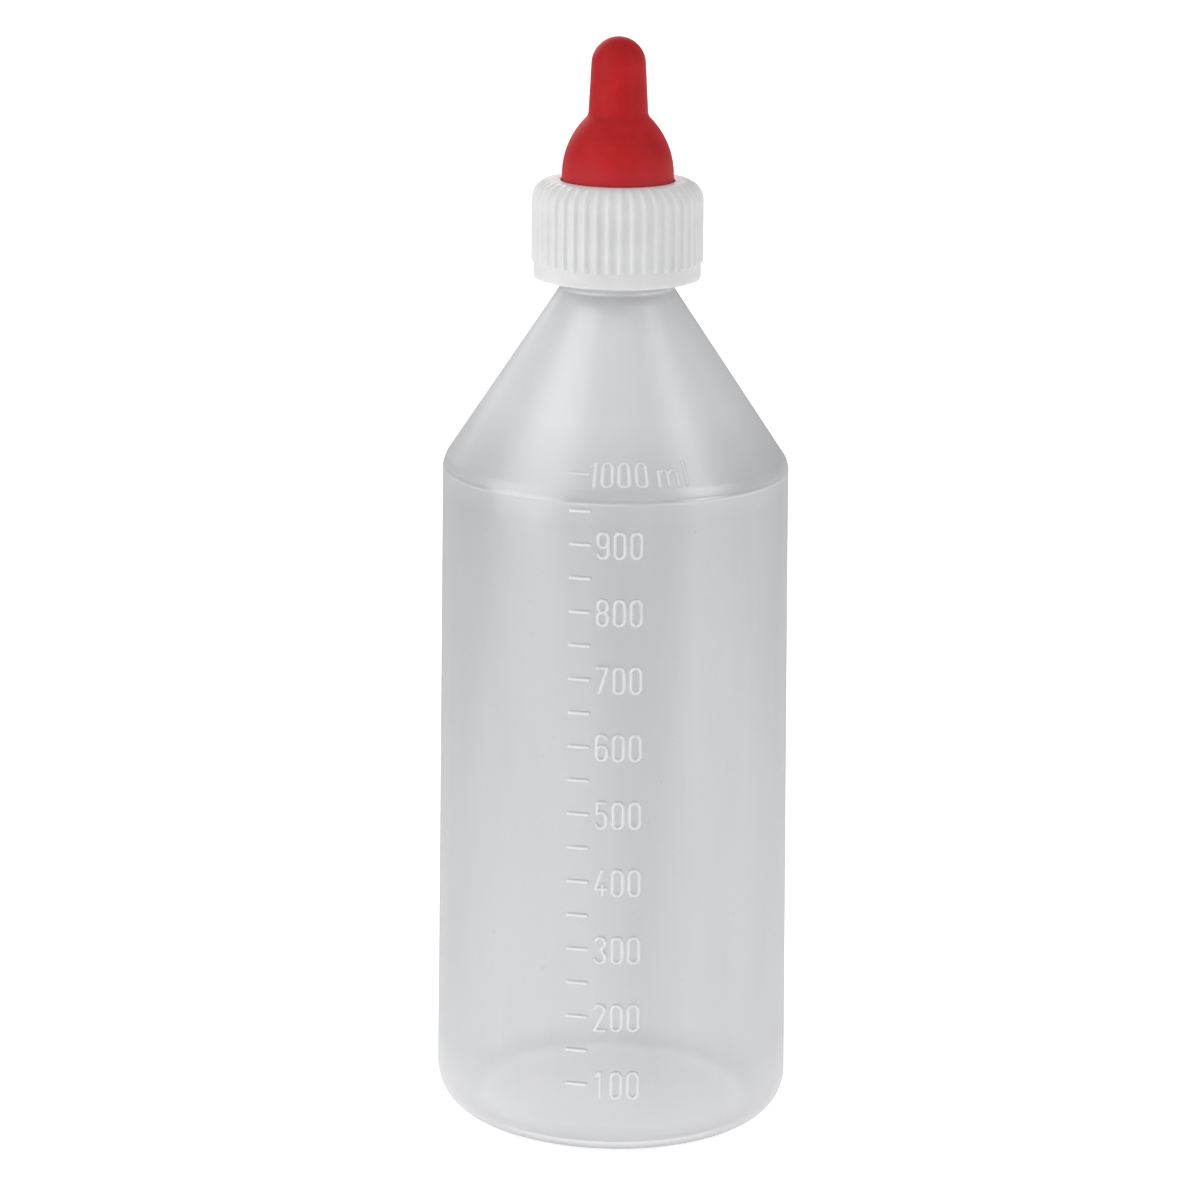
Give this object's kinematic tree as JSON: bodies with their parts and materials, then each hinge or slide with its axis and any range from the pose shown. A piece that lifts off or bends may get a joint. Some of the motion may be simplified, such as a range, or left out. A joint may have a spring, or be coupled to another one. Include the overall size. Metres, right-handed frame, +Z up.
{
  "type": "calf feeding bottle",
  "caption": "Translucent feeding bottle with a long conical shoulder and a raised volume scale, a ribbed screw ring and a rubber teat clamped under it.",
  "frame": {"origin": "on the bottle's axis, on the surface it stands on", "axes": "+Z up along the bottle's axis, from the base to the teat; the volume scale is on the front, which faces -Y"},
  "size_m": [0.09, 0.0903, 0.2763],
  "materials": {
    "translucent_plastic": "natural translucent, satin",
    "white_plastic": "white, satin",
    "red_rubber": "smooth red rubber"
  },
  "bodies": {
    "bottle": {"bottle": "translucent_plastic"},
    "teat": {"teat": "red_rubber"},
    "screw_ring": {"screw_ring": "white_plastic"}
  },
  "joints": [
    {"name": "ring_lift", "type": "slide", "parent": "bottle", "child": "teat", "axis": [0, 0, 1], "range_m": [0, 0.0245]},
    {"name": "ring_turn", "type": "hinge", "parent": "teat", "child": "screw_ring", "pos_m": [0, 0, 0.2263], "axis": [0, 0, 1], "range_deg": [0, 2160]}
  ],
  "couplings": [
    {"joint": "ring_lift", "follows": "ring_turn", "m_per_rad": 0.00063662}
  ]
}
